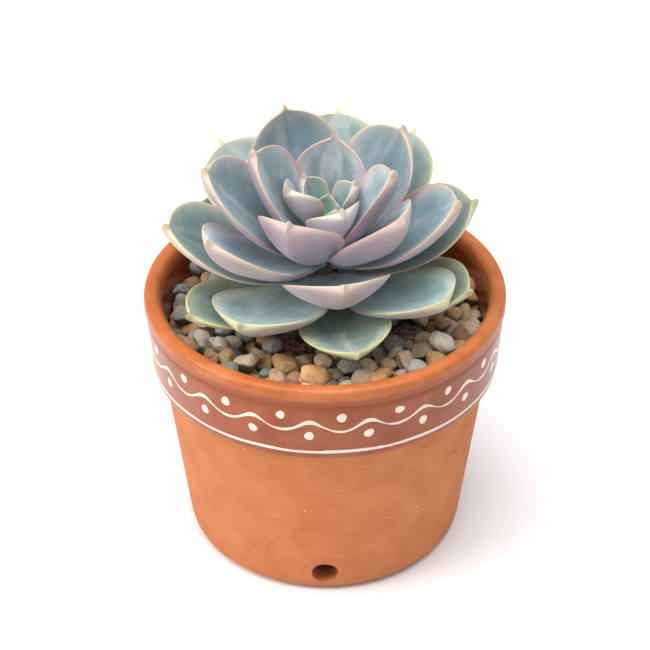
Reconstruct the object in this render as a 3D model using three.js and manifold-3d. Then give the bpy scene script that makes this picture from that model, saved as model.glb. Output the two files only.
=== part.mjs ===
// A potted echeveria: a leaning rosette of succulent leaves on a short stem, set in soil and
// gravel in a terracotta pot. Millimetres, +Z up, origin at the middle of the pot's base.
import * as THREE from "three";
import { mergeVertices } from "three/addons/utils/BufferGeometryUtils.js";
import Module from "manifold-3d";

const wasm = await Module();
wasm.setup();

// Driving dimensions
const gap = 0.3; // clearance kept between pieces that touch in the real plant
const pot = {
  height: 94, rimRadius: 60, bodyFootRadius: 48.3, segments: 48,
  floor: 5.2, wallFootRadius: 42.5, wallTop: 86, wallTopRadius: 53,
};
// The pot's outside, as radius and height: base, tapering body, collar, and a rolled lip.
const potOutside = [
  [0, 0], [44, 0], [47, 2.5], [48.3, 6.5], [55.2, 66.6], [58.1, 67], [58.5, 67.8], [60, 90],
  [59.3, 92.5], [57.5, 94], [55.5, 93.6], [54, 92],
];
const drain = { radius: 4.4, height: 9.8, depth: 20, sides: 20 };
const fill = { soilTop: 72, gravelTop: 80, ripple: 1, rings: 7, segments: 32 };
const stone = { count: 16, ringRadii: [46, 39], half: [3.9, 3.2, 2.6], lift: 81.8 };
const rosette = { lean: 12, towards: 270, pivot: [0, 3, 93] };
const stem = { radius: 4.5, tipRadius: 1.8, below: 30, taperFrom: 10, top: 25 };
const leafSides = 10;
// Outline of a leaf: the base and the widest place as shares, the bluntness of its round end,
// and its pointed spur.
const outline = { base: 0.34, widest: 0.62, blunt: 0.54, spurLength: 2.6, spur: 1.8 };
// Cross section of a leaf: margin half height, fullness, and how far the two faces bulge.
const section = {
  edge: 0.55, full: 3.2, topBulge: 0.12, underBulge: 1.6, taperFrom: 0.45, rollWithin: 0.3,
};

// Leaf sizes by whorl, in degrees and millimetres: lift is the slope at the base, curl the turn
// from base to tip, reach and height the place of the base out from and up the leaning stem.
// A leaf may also roll about its own length.
const whorls = {
  inner: {
    length: 41, width: 28, lift: 36, curl: 40, cup: 0.36, thick: 5, reach: 3, height: 17,
    bend: 1.1, rows: 8,
  },
  middle: {
    length: 51, width: 33, lift: 16, curl: 46, cup: 0.3, thick: 4.5, reach: 3.5, height: 13,
    bend: 1.2, rows: 8,
  },
  outer: {
    length: 55, width: 34, lift: 9, curl: 38, cup: 0.28, thick: 4.5, reach: 4, height: 7,
    bend: 1.3, rows: 8,
  },
  skirt: {
    length: 52, width: 29, lift: 6, curl: 24, cup: 0.24, thick: 3.5, reach: 4, height: 1,
    bend: 1.2, rows: 8,
  },
  heart: {
    length: 20, width: 12, lift: 50, curl: 26, cup: 0.5, thick: 3, reach: 2, height: 23,
    bend: 1, rows: 8, blunt: 0.6,
  },
  bud: {
    length: 12, width: 8, lift: 62, curl: 25, cup: 0.6, thick: 2.2, reach: 1.2, height: 25,
    bend: 1, rows: 6, blunt: 0.7,
  },
};

// Every leaf of the rosette, by whorl: its heading in degrees counterclockwise from +X, and
// whatever sets it apart from its whorl.
const leafPlan = {
  inner: [
    { heading: 244, lift: 33, curl: 47, roll: 6 },
    { heading: 318, lift: 29, curl: 44, length: 45, width: 30, height: 16 },
    { heading: 169, lift: 55, curl: 17, length: 44, width: 25, roll: -2, height: 15 },
    { heading: 352, lift: 56, curl: 13, length: 40, width: 20, roll: 4 },
    { heading: 81, lift: 45, curl: 32, length: 38, width: 24, roll: -6, height: 14, blunt: 0.68 },
  ],
  middle: [
    { heading: 278, lift: 22, curl: 44, length: 50, width: 34, height: 6 },
    { heading: 215, lift: 14, curl: 52, length: 53, width: 30, roll: 5 },
    { heading: 347, lift: 20, curl: 45, length: 53, width: 31, height: 12 },
    { heading: 183, lift: 35, curl: 31, length: 53, width: 31, roll: -2 },
    { heading: 110, lift: 12, curl: 67, width: 32, roll: 4 },
    { heading: 46, lift: 14, curl: 67, length: 49, width: 35, roll: -16 },
  ],
  outer: [
    { heading: 237, lift: 11, curl: 34, length: 51, width: 36, roll: 11, height: 1 },
    { heading: 320, curl: 37, length: 52, width: 33, roll: -7, height: 3 },
    { heading: 189, lift: 10, curl: 44, length: 56, width: 37, roll: 5 },
    { heading: 6, lift: 11, curl: 42, length: 53, width: 33 },
    { heading: 158, lift: -4, curl: 34, length: 48, width: 31 },
    { heading: 130, lift: 10, curl: 16, roll: -10, height: 8 },
    { heading: 110, lift: 3, length: 50 },
    { heading: 85, lift: 10, curl: 20, length: 58, width: 36 },
    { heading: 56, lift: 8, curl: 30, length: 56, width: 32 },
  ],
  skirt: [
    { heading: 215, lift: 4, curl: 31, length: 53, width: 28, roll: 4, height: 0 },
    { heading: 281, lift: 11, curl: 22, roll: 2 },
    { heading: 334, curl: 32, width: 30 },
    { heading: 32, lift: -3 },
    { heading: 92, lift: -8 },
    { heading: 152, lift: -4 },
  ],
  heart: [
    { heading: 129, lift: 53, curl: 24, roll: 15 },
    { heading: 30, lift: 55, curl: 16, roll: -19 },
    { heading: 190, lift: 54, curl: 14, length: 22, width: 17, roll: 29, height: 26 },
    { heading: 303, curl: 37, length: 22, width: 19, roll: -4, height: 21 },
  ],
  bud: [
    { heading: 79, lift: 59, curl: 19, width: 7, height: 24 },
    { heading: 221 },
    { heading: 330 },
  ],
};

// Dried lower leaves that have fallen on the gravel.
const huskShape = { length: 12, width: 4.5, curl: 80, cup: 0.8, thick: 1.4, bend: 1, rows: 7 };
const huskPlan = [
  { heading: 165, lift: -25, at: [-6, -27, 87] },
  { heading: 350, lift: -25, at: [19, -19, 87.5] },
];

const looks = {
  pot: { color: "#c46a3c", roughness: 0.55 },
  soil: { color: "#2e241d", roughness: 0.95 },
  gravel: { color: "#a39280", roughness: 0.85 },
  stem: { color: "#8b8f6a", roughness: 0.7 },
  husk: { color: "#7d4f4c", roughness: 0.8 },
  skirt: { color: "#7f9d88", roughness: 0.6 },
  outer: { color: "#86a5a0", roughness: 0.6 },
  middle: { color: "#97a9b3", roughness: 0.6 },
  inner: { color: "#b3a8b6", roughness: 0.6 },
  heart: { color: "#8fae9f", roughness: 0.6 },
  bud: { color: "#7aa08c", roughness: 0.6 },
};

const radians = THREE.MathUtils.degToRad;
const clamp01 = (x) => Math.min(1, Math.max(0, x));

// Half of a leaf's width at the fraction u of its length: a narrow base, a broad round end and
// a short pointed spur.
function halfWidth(leaf, u) {
  const half = leaf.width / 2;
  const spurLength = Math.min(outline.spurLength, leaf.width * 0.2);
  const roundEnd = 1 - spurLength / leaf.length;
  const rise = Math.sin((clamp01(u / outline.widest) * Math.PI) / 2) ** 1.25;
  const fall = clamp01((u - outline.widest) / (roundEnd - outline.widest));
  const body = u < outline.widest
    ? half * (outline.base + (1 - outline.base) * rise)
    : half * (1 - fall ** 2.2) ** (leaf.blunt ?? outline.blunt);
  const fromTip = (1 - u) * leaf.length;
  const spur = Math.min(outline.spur, leaf.width * 0.1);
  return Math.hypot(body, spur * (1 - Math.exp(-((fromTip / (0.9 * spurLength)) ** 1.25))));
}

// The leaf's centre line in its own vertical plane, as points with their slope.
function centreLine(leaf) {
  const steps = 200;
  const line = [{ x: 0, z: 0, slope: radians(leaf.lift) }];
  for (let i = 1; i <= steps; i++) {
    const last = line[i - 1];
    const slope = radians(leaf.lift + leaf.curl * (i / steps) ** leaf.bend);
    const middle = (slope + last.slope) / 2;
    const step = leaf.length / steps;
    line.push({ x: last.x + Math.cos(middle) * step, z: last.z + Math.sin(middle) * step, slope });
  }
  return (u) => line[Math.round(u * steps)];
}

// A leaf along +X from its base, grown on every side by the given amount. The rows of a sphere
// become the leaf's cross sections: its first pole closes the base and its last one is the tip.
function leafGeometry(leaf, grow) {
  const rows = leaf.rows + 1;
  const geometry = new THREE.SphereGeometry(1, leafSides, rows);
  const { position, uv } = geometry.attributes;
  const centreAt = centreLine(leaf);
  for (let i = 0; i < position.count; i++) {
    const row = Math.round((1 - uv.getY(i)) * rows);
    const u = 1 - (1 - Math.max(0, row - 1) / (rows - 1)) ** 1.35;
    const turn = uv.getX(i) * 2 * Math.PI;
    const onPole = row === 0 || row === rows;
    const across = onPole ? 0 : -Math.cos(turn);
    const centre = centreAt(u);
    const half = halfWidth(leaf, u);
    const taper = Math.sqrt(1 - clamp01((u - section.taperFrom) / (1 - section.taperFrom)) ** 2.6);
    const swell = 0.75 + 0.25 * Math.sin(clamp01(u / 0.5) * Math.PI / 2);
    const thick = 0.5 * leaf.thick * swell * taper * (1 - Math.abs(across) ** section.full);
    const thin = Math.min(1, (1 - u) * leaf.length / outline.spurLength + 0.15);
    const edge = section.edge * Math.sqrt(1 - Math.abs(across) ** 7) * thin;
    const lip = leaf.cup * half * across ** 2 * (0.35 + 0.65 * half / (leaf.width / 2));
    const topSide = lip - section.topBulge * thick + edge + grow;
    const underside = lip - section.underBulge * thick - edge - grow;
    const level = onPole ? 0 : Math.sin(turn) >= -1e-6 ? topSide : underside;
    const roll = radians(leaf.roll ?? 0) * clamp01(u / section.rollWithin);
    const side = across * (half + grow) * Math.cos(roll) - level * Math.sin(roll);
    const up = across * (half + grow) * Math.sin(roll) + level * Math.cos(roll);
    const end = row <= 1 ? -grow : row === rows ? 2 * grow : 0;
    position.setXYZ(
      i,
      centre.x - Math.sin(centre.slope) * up + Math.cos(centre.slope) * end,
      side,
      centre.z + Math.cos(centre.slope) * up + Math.sin(centre.slope) * end,
    );
  }
  return geometry;
}

// Turns a leaf that lies along +X to its heading on the stem, then leans it with the rosette.
function leafPlace(leaf) {
  const onStem = new THREE.Matrix4().makeRotationZ(radians(leaf.heading));
  onStem.multiply(new THREE.Matrix4().makeTranslation(leaf.reach, 0, 0));
  onStem.premultiply(new THREE.Matrix4().makeTranslation(0, 0, leaf.height));
  return leanPlace().multiply(onStem);
}

function leanPlace() {
  const towards = radians(rosette.towards);
  const axis = new THREE.Vector3(-Math.sin(towards), Math.cos(towards), 0);
  const lean = new THREE.Matrix4().makeRotationAxis(axis, radians(rosette.lean));
  return lean.premultiply(new THREE.Matrix4().makeTranslation(...rosette.pivot));
}

function solidOf(geometry, place = new THREE.Matrix4()) {
  const bare = geometry.clone().applyMatrix4(place);
  bare.deleteAttribute("normal");
  bare.deleteAttribute("uv");
  const merged = mergeVertices(bare, 1e-4);
  return new wasm.Manifold(new wasm.Mesh({
    numProp: 3,
    vertProperties: new Float32Array(merged.attributes.position.array),
    triVerts: new Uint32Array(merged.index.array),
  }));
}

function geometryOf(solid) {
  const mesh = solid.getMesh();
  const geometry = new THREE.BufferGeometry();
  geometry.setAttribute("position", new THREE.BufferAttribute(mesh.vertProperties, 3));
  geometry.setIndex(new THREE.BufferAttribute(mesh.triVerts, 1));
  geometry.computeVertexNormals();
  return geometry;
}

function lathe(points, segments) {
  const outlinePoints = points.map(([radius, height]) => new THREE.Vector2(radius, height));
  return new THREE.LatheGeometry(outlinePoints, segments).rotateX(Math.PI / 2);
}

const object = new THREE.Group();

function addPiece(name, solid, look) {
  const material = new THREE.MeshStandardMaterial({ metalness: 0, ...look });
  const mesh = new THREE.Mesh(geometryOf(solid), material);
  mesh.name = name;
  object.add(mesh);
}

// Inner radius of the pot's wall at a height.
function wallRadius(height) {
  const share = (height - pot.floor) / (pot.wallTop - pot.floor);
  return pot.wallFootRadius + (pot.wallTopRadius - pot.wallFootRadius) * share;
}

// The pot, with one drain hole low in its wall.
function potSolid() {
  const inside = [[pot.wallTopRadius, pot.wallTop], [pot.wallFootRadius, pot.floor], [0, pot.floor]];
  const clay = solidOf(lathe([...potOutside, ...inside], pot.segments));
  const hole = new THREE.CylinderGeometry(drain.radius, drain.radius, drain.depth, drain.sides);
  return clay.subtract(solidOf(hole.translate(0, -pot.bodyFootRadius, drain.height)));
}

// Soil, from the pot's floor up to the gravel.
function soilSolid() {
  const bottom = pot.floor + gap;
  const top = fill.soilTop;
  return solidOf(lathe([
    [0, bottom], [wallRadius(bottom) - gap, bottom], [wallRadius(top) - gap, top], [0, top],
  ], pot.segments));
}

// The bed of small gravel, one rippled layer on the soil.
function gravelSolid() {
  const bottom = fill.soilTop + gap;
  const topRings = Array.from({ length: fill.rings }, (_, i) => 1 - i / (fill.rings - 1));
  const edge = wallRadius(bottom) - gap;
  const bed = lathe([
    [0, bottom], [edge, bottom], ...topRings.map((share) => [edge * share, fill.gravelTop]),
  ], fill.segments);
  const { position } = bed.attributes;
  for (let i = 0; i < position.count; i++) {
    const [x, y, z] = [position.getX(i), position.getY(i), position.getZ(i)];
    const inside = Math.hypot(x, y) < edge - 1;
    const ripple = fill.ripple * Math.sin(x * 0.9) * Math.cos(y * 0.9);
    if (z > bottom + 1 && inside) position.setZ(i, z + ripple);
  }
  return solidOf(bed);
}

// The stem, straight along the lean of the rosette and rooted in the soil.
function stemSolid(grow) {
  const radius = stem.radius + grow;
  const tipRadius = stem.tipRadius + grow;
  const rod = lathe([
    [0, -stem.below - grow], [radius, -stem.below - grow], [radius, stem.taperFrom],
    [tipRadius, stem.top], [tipRadius * 0.6, stem.top + 1.2 + grow], [0, stem.top + 1.6 + grow],
  ], 16);
  return solidOf(rod, leanPlace());
}

// Loose stones on the gravel, in a staggered ring inside the rim.
function stoneSolid(index) {
  const heading = (index / stone.count) * 2 * Math.PI;
  const radius = stone.ringRadii[index % 2];
  const size = 0.88 + 0.16 * Math.cos(index * 2.4);
  const round = new THREE.IcosahedronGeometry(1, 1);
  const [long, wide, tall] = stone.half.map((half) => half * size);
  round.scale(long, wide, tall).rotateZ(index * 1.9);
  round.translate(radius * Math.cos(heading), radius * Math.sin(heading), stone.lift + tall);
  return solidOf(round);
}

addPiece("terracotta_pot", potSolid(), looks.pot);
const stemRoom = stemSolid(gap);
addPiece("potting_soil", soilSolid().subtract(stemRoom), looks.soil);
addPiece("gravel_bed", gravelSolid().subtract(stemRoom), looks.gravel);
addPiece("stem", stemSolid(0), looks.stem);
for (let i = 0; i < stone.count; i++) addPiece(`loose_stone_${i + 1}`, stoneSolid(i), looks.gravel);

// Leaves are laid from the middle whorls outwards: each is trimmed to clear the stem and every
// leaf already laid, where their bases crowd together round the stem, and its largest part kept.
const laid = [stemRoom];

function trimmed(geometry, place) {
  const left = laid.reduce((whole, room) => whole.subtract(room), solidOf(geometry, place));
  return left.decompose().reduce((best, piece) => (piece.volume() > best.volume() ? piece : best));
}

for (const whorl of Object.keys(whorls)) {
  leafPlan[whorl].forEach((own, index) => {
    const leaf = { ...whorls[whorl], ...own };
    const place = leafPlace(leaf);
    addPiece(`${whorl}_leaf_${index + 1}`, trimmed(leafGeometry(leaf, 0), place), looks[whorl]);
    laid.push(solidOf(leafGeometry(leaf, gap), place));
  });
}

huskPlan.forEach((own, index) => {
  const husk = { ...huskShape, ...own };
  const place = new THREE.Matrix4().makeTranslation(...husk.at);
  place.multiply(new THREE.Matrix4().makeRotationZ(radians(husk.heading)));
  addPiece(`dry_husk_${index + 1}`, trimmed(leafGeometry(husk, 0), place), looks.husk);
});

export default object;
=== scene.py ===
import math

import bmesh
import bpy
import numpy as np
from mathutils import Matrix, Vector


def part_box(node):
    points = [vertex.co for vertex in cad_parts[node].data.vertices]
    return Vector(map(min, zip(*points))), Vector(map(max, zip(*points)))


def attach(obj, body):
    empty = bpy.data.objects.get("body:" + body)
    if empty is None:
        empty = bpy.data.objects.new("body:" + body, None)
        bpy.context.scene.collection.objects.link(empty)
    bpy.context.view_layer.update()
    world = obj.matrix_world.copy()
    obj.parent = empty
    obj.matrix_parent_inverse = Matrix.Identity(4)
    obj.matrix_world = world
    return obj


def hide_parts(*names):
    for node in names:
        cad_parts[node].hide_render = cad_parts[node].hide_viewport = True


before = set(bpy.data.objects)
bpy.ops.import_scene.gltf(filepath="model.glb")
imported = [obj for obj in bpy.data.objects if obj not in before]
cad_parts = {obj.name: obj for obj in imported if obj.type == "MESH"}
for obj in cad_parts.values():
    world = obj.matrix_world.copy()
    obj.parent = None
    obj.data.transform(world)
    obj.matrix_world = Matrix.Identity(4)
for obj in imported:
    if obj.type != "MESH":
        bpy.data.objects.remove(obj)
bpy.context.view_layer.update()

mm = 0.001
scene = bpy.context.scene

view = {
    'elevation': 35.3,      # degrees above the table
    'distance': 0.6,
    'aim': (0, 0, 0.0768),
    'lens': 98.7,
    'sensor': 36,
}


def makeCamera():
    camera = bpy.data.objects.new('camera', bpy.data.cameras.new('camera'))
    scene.collection.objects.link(camera)
    camera.data.lens = view['lens']
    camera.data.sensor_width = view['sensor']
    slope = math.radians(view['elevation'])
    ahead = Vector((0, math.cos(slope), -math.sin(slope)))
    camera.location = Vector(view['aim']) - ahead * view['distance']
    camera.rotation_euler = ahead.to_track_quat('-Z', 'Y').to_euler()
    scene.camera = camera


makeCamera()
print('camera ready')


class Wire:
    # one socket of a material, which takes arithmetic
    def __init__(self, tree, socket=None):
        self.tree = tree
        self.socket = socket

    def node(self, kind, settings=None, inputs=None, output=0):
        made = self.tree.nodes.new('ShaderNode' + kind)
        for key, value in (settings or {}).items():
            setattr(made, key, value)
        for key, value in (inputs or {}).items():
            if isinstance(value, Wire):
                self.tree.links.new(value.socket, made.inputs[key])
            else:
                made.inputs[key].default_value = value
        return Wire(self.tree, made.outputs[output])

    def maths(self, operation, first, second):
        return self.node('Math', {'operation': operation}, {0: first, 1: second})

    def __add__(self, other):
        return self.maths('ADD', self, other)

    def __sub__(self, other):
        return self.maths('SUBTRACT', self, other)

    def __rsub__(self, other):
        return self.maths('SUBTRACT', other, self)

    def __mul__(self, other):
        return self.maths('MULTIPLY', self, other)

    def __truediv__(self, other):
        return self.maths('DIVIDE', self, other)

    __radd__ = __add__
    __rmul__ = __mul__

    # 0 below low, 1 above high, smooth between
    def fade(self, low, high):
        settings = {'interpolation_type': 'SMOOTHSTEP', 'clamp': True}
        if low < high:
            return self.node('MapRange', settings, {0: self, 1: low, 2: high, 3: 0.0, 4: 1.0})
        return self.node('MapRange', settings, {0: self, 1: high, 2: low, 3: 1.0, 4: 0.0})

    # first where this is 0, second where it is 1
    def blend(self, first, second):
        settings = {'data_type': 'RGBA', 'clamp_factor': True}
        return self.node('Mix', settings, {0: self, 6: first, 7: second}, 2)

    def split(self):
        parts = self.node('SeparateXYZ', None, {0: self}).socket.node
        return [Wire(self.tree, out) for out in parts.outputs]

    def scale(self, factor):
        return self.node('VectorMath', {'operation': 'SCALE'}, {0: self, 3: factor})

    def shift(self, other):
        return self.node('VectorMath', {'operation': 'ADD'}, {0: self, 1: other})

    def stretch(self, factors):
        return self.node('VectorMath', {'operation': 'MULTIPLY'}, {0: self, 1: factors})


def colour(red, green, blue):
    return (red, green, blue, 1.0)


def startFinish(name):
    material = bpy.data.materials.new(name)
    material.use_nodes = True
    shader = material.node_tree.nodes['Principled BSDF']
    return material, shader, Wire(material.node_tree)


def plug(shader, **sockets):
    for name, value in sockets.items():
        target = shader.inputs[name.replace('_', ' ')]
        if isinstance(value, Wire):
            value.tree.links.new(value.socket, target)
        else:
            target.default_value = value


def noise(wire, where, scale, detail=3.0, roughness=0.55, distortion=0.0):
    return wire.node('TexNoise', None, {
        'Vector': where, 'Scale': scale, 'Detail': detail, 'Roughness': roughness,
        'Distortion': distortion,
    })


# three numbers kept at each point of the mesh
def attribute(wire, name):
    return wire.node('Attribute', {'attribute_name': name}, output=1)


def bump(wire, height, strength, distance, below=None):
    inputs = {'Height': height, 'Strength': strength, 'Distance': distance}
    if below is not None:
        inputs['Normal'] = below
    return wire.node('Bump', None, inputs)


# a mesh with its finish, riding on the body, in place of the CAD nodes that it stands for
def makePiece(name, points, faces, finish, marks=None, stands=()):
    mesh = bpy.data.meshes.new(name)
    mesh.from_pydata(np.asarray(points).tolist(), [], faces)
    for mark, values in (marks or {}).items():
        layer = mesh.attributes.new(mark, 'FLOAT_VECTOR', 'POINT')
        layer.data.foreach_set('vector', np.asarray(values, np.float32).ravel())
    mesh.shade_smooth()
    mesh.materials.append(finish)
    piece = bpy.data.objects.new(name, mesh)
    scene.collection.objects.link(piece)
    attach(piece, 'root')
    if stands:
        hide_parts(*stands)
    return piece


# quads between rings of points, each ring closed on itself
def ringFaces(rings, around):
    faces = []
    for ring in range(rings - 1):
        for k in range(around):
            low, high = ring * around, (ring + 1) * around
            step = (k + 1) % around
            faces.append((low + k, low + step, high + step, high + k))
    return faces


rosette = {
    'lean': 12,             # degrees, towards the viewer's side
    'towards': 270,
    'pivot': (0, 3, 93),
}

outline = {
    'base': 0.34,           # width at the stem, of the greatest
    'widest': 0.62,         # where a leaf is widest, of its length
    'point': 0.54,          # lower is blunter
    'spurLength': 2.6,      # the little point at the tip, in mm
    'spur': 1.8,
    'edge': 0.55,           # half the thickness of the margin
    'full': 3.2,            # how boxy the section is
}

# leaf sizes by whorl, in degrees and millimetres
whorls = {
    'inner': {'length': 41, 'width': 28, 'lift': 36, 'curl': 40, 'cup': 0.36, 'thick': 5.0,
              'reach': 3.0, 'height': 17, 'bend': 1.1},
    'middle': {'length': 51, 'width': 33, 'lift': 16, 'curl': 46, 'cup': 0.30, 'thick': 4.5,
               'reach': 3.5, 'height': 13, 'bend': 1.2},
    'outer': {'length': 55, 'width': 34, 'lift': 9, 'curl': 38, 'cup': 0.28, 'thick': 4.5,
              'reach': 4.0, 'height': 7, 'bend': 1.3},
    'skirt': {'length': 52, 'width': 29, 'lift': 6, 'curl': 24, 'cup': 0.24, 'thick': 3.5,
              'reach': 4.0, 'height': 1, 'bend': 1.2},
    'heart': {'length': 20, 'width': 12, 'lift': 50, 'curl': 26, 'cup': 0.50, 'thick': 3.0,
              'reach': 2.0, 'height': 23, 'bend': 1.0, 'point': 0.60},
    'bud': {'length': 12, 'width': 8, 'lift': 62, 'curl': 25, 'cup': 0.60, 'thick': 2.2,
            'reach': 1.2, 'height': 25, 'bend': 1.0, 'point': 0.70},
}

# what each leaf has of its own; spot and scar are old marks: along, across and reach in mm
leafPlan = {
    'inner': [
        {'heading': 244, 'lift': 33, 'curl': 47, 'roll': 6, 'spot': (0.78, -0.62, 1.8)},
        {'heading': 318, 'lift': 29, 'curl': 44, 'length': 45, 'width': 30, 'height': 16},
        {'heading': 169, 'lift': 55, 'curl': 17, 'length': 44, 'width': 25, 'roll': -2, 'height': 15},
        {'heading': 352, 'lift': 56, 'curl': 13, 'length': 40, 'width': 20, 'roll': 4},
        {'heading': 81, 'lift': 45, 'curl': 32, 'length': 38, 'width': 24, 'roll': -6, 'height': 14,
         'point': 0.68},
    ],
    'middle': [
        {'heading': 278, 'lift': 22, 'curl': 44, 'length': 50, 'width': 34, 'height': 6,
         'scar': (0.84, 0.22, 4.0)},
        {'heading': 215, 'lift': 14, 'curl': 52, 'length': 53, 'width': 30, 'roll': 5},
        {'heading': 347, 'lift': 20, 'curl': 45, 'length': 53, 'width': 31, 'height': 12},
        {'heading': 183, 'lift': 35, 'curl': 31, 'length': 53, 'width': 31, 'roll': -2},
        {'heading': 110, 'lift': 12, 'curl': 67, 'width': 32, 'roll': 4},
        {'heading': 46, 'lift': 14, 'curl': 67, 'length': 49, 'width': 35, 'roll': -16},
    ],
    'outer': [
        {'heading': 237, 'lift': 11, 'curl': 34, 'length': 51, 'width': 36, 'roll': 11, 'height': 1},
        {'heading': 320, 'curl': 37, 'length': 52, 'width': 33, 'roll': -7, 'height': 3},
        {'heading': 189, 'lift': 10, 'curl': 44, 'length': 56, 'width': 37, 'roll': 5},
        {'heading': 6, 'lift': 11, 'curl': 42, 'length': 53, 'width': 33},
        {'heading': 158, 'lift': -4, 'curl': 34, 'length': 48, 'width': 31},
        {'heading': 130, 'lift': 10, 'curl': 16, 'roll': -10, 'height': 8},
        {'heading': 110, 'lift': 3, 'length': 50},
        {'heading': 85, 'lift': 10, 'curl': 20, 'length': 58, 'width': 36},
        {'heading': 56, 'lift': 8, 'curl': 30, 'length': 56, 'width': 32},
    ],
    'skirt': [
        {'heading': 215, 'lift': 4, 'curl': 31, 'length': 53, 'width': 28, 'roll': 4, 'height': 0},
        {'heading': 281, 'lift': 11, 'curl': 22, 'roll': 2},
        {'heading': 334, 'curl': 32, 'width': 30},
        {'heading': 32, 'lift': -3},
        {'heading': 92, 'lift': -8},
        {'heading': 152, 'lift': -4},
    ],
    'heart': [
        {'heading': 129, 'lift': 53, 'curl': 24, 'roll': 15},
        {'heading': 30, 'lift': 55, 'curl': 16, 'roll': -19},
        {'heading': 190, 'lift': 54, 'curl': 14, 'length': 22, 'width': 17, 'roll': 29, 'height': 26},
        {'heading': 303, 'curl': 37, 'length': 22, 'width': 19, 'roll': -4, 'height': 21},
    ],
    'bud': [
        {'heading': 79, 'lift': 59, 'curl': 19, 'width': 7, 'height': 24},
        {'heading': 221},
        {'heading': 330},
    ],
}

leafGrid = {'rows': 60, 'half': 34}     # rings along a leaf, steps across one face

# far and near scale the colour of the upper faces at the back and the front: painted light and shade, with
# the front leaves mostly painted paler than the back ones
leafLooks = {
    'skirt': {
        'top': colour(0.240, 0.340, 0.255), 'deep': colour(0.135, 0.215, 0.165),
        'bloom': colour(0.520, 0.600, 0.540), 'tint': colour(0.330, 0.390, 0.250),
        'under': colour(0.370, 0.310, 0.210), 'underDeep': colour(0.220, 0.220, 0.160),
        'tan': colour(0.330, 0.270, 0.150), 'glow': colour(0.400, 0.400, 0.240),
        'rim': colour(0.500, 0.480, 0.200), 'blush': colour(0.500, 0.400, 0.230),
        'spur': colour(0.480, 0.420, 0.210),
        'far': 0.85, 'near': 1.02,
    },
    'outer': {
        'top': colour(0.260, 0.375, 0.340), 'deep': colour(0.190, 0.300, 0.295),
        'bloom': colour(0.560, 0.630, 0.610), 'tint': colour(0.400, 0.430, 0.330),
        'under': colour(0.420, 0.345, 0.285), 'underDeep': colour(0.260, 0.240, 0.190),
        'tan': colour(0.360, 0.290, 0.180), 'glow': colour(0.440, 0.450, 0.330),
        'rim': colour(0.530, 0.500, 0.260), 'blush': colour(0.560, 0.400, 0.300),
        'spur': colour(0.520, 0.450, 0.270),
        'far': 0.68, 'near': 1.65,
    },
    'middle': {
        'top': colour(0.265, 0.350, 0.350), 'deep': colour(0.180, 0.280, 0.315),
        'bloom': colour(0.540, 0.570, 0.620), 'tint': colour(0.370, 0.360, 0.420),
        'under': colour(0.360, 0.275, 0.290), 'underDeep': colour(0.330, 0.280, 0.310),
        'tan': colour(0.370, 0.280, 0.210), 'glow': colour(0.450, 0.400, 0.410),
        'rim': colour(0.560, 0.440, 0.290), 'blush': colour(0.620, 0.250, 0.280),
        'spur': colour(0.540, 0.440, 0.300),
        'far': 0.85, 'near': 1.90,
    },
    'inner': {
        'top': colour(0.255, 0.325, 0.330), 'deep': colour(0.165, 0.240, 0.255),
        'bloom': colour(0.560, 0.600, 0.630), 'tint': colour(0.480, 0.460, 0.480),
        'under': colour(0.350, 0.245, 0.290), 'underDeep': colour(0.370, 0.280, 0.350),
        'tan': colour(0.350, 0.270, 0.230), 'glow': colour(0.430, 0.360, 0.360),
        'rim': colour(0.560, 0.390, 0.300), 'blush': colour(0.620, 0.240, 0.280),
        'spur': colour(0.560, 0.450, 0.370),
        'far': 1.08, 'near': 1.30,
    },
    'heart': {
        'top': colour(0.150, 0.260, 0.250), 'deep': colour(0.085, 0.165, 0.165),
        'bloom': colour(0.400, 0.520, 0.510), 'tint': colour(0.330, 0.360, 0.330),
        'under': colour(0.600, 0.490, 0.550), 'underDeep': colour(0.460, 0.390, 0.440),
        'tan': colour(0.340, 0.310, 0.280), 'glow': colour(0.380, 0.390, 0.330),
        'rim': colour(0.600, 0.530, 0.410), 'blush': colour(0.600, 0.440, 0.410),
        'spur': colour(0.560, 0.470, 0.400),
        'far': 1.15, 'near': 1.15,
    },
    'bud': {
        'top': colour(0.115, 0.195, 0.150), 'deep': colour(0.060, 0.120, 0.095),
        'bloom': colour(0.230, 0.330, 0.280), 'tint': colour(0.200, 0.270, 0.190),
        'under': colour(0.430, 0.450, 0.390), 'underDeep': colour(0.210, 0.250, 0.210),
        'tan': colour(0.280, 0.290, 0.220), 'glow': colour(0.300, 0.350, 0.260),
        'rim': colour(0.440, 0.450, 0.330), 'blush': colour(0.440, 0.390, 0.310),
        'spur': colour(0.450, 0.470, 0.330),
        'far': 1.50, 'near': 1.50,
    },
}


def halfWidth(leaf, u):
    half = leaf['width'] / 2
    spurLength = min(outline['spurLength'], leaf['width'] * 0.2)
    roundEnd = 1 - spurLength / leaf['length']
    widest = outline['widest']
    rise = np.sin(np.clip(u / widest, 0, 1) * math.pi / 2) ** 1.25
    fall = np.clip((u - widest) / (roundEnd - widest), 0, 1)
    body = np.where(u < widest, outline['base'] + (1 - outline['base']) * rise,
                    (1 - fall ** 2.2) ** leaf.get('point', outline['point'])) * half
    fromTip = (1 - u) * leaf['length']
    spur = min(outline['spur'], leaf['width'] * 0.1)
    return np.hypot(body, spur * (1 - np.exp(-(fromTip / (0.9 * spurLength)) ** 1.25)))


# the middle line of a leaf in its own upright plane
def centreLine(leaf, u):
    steps = 200
    slope = np.radians(leaf['lift'] + leaf['curl'] * np.linspace(0, 1, steps + 1) ** leaf['bend'])
    middle = (slope[1:] + slope[:-1]) / 2
    step = leaf['length'] / steps
    x = np.concatenate([[0], np.cumsum(np.cos(middle) * step)])
    z = np.concatenate([[0], np.cumsum(np.sin(middle) * step)])
    share = np.linspace(0, 1, steps + 1)
    return np.interp(u, share, x), np.interp(u, share, z), np.interp(u, share, slope)


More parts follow.
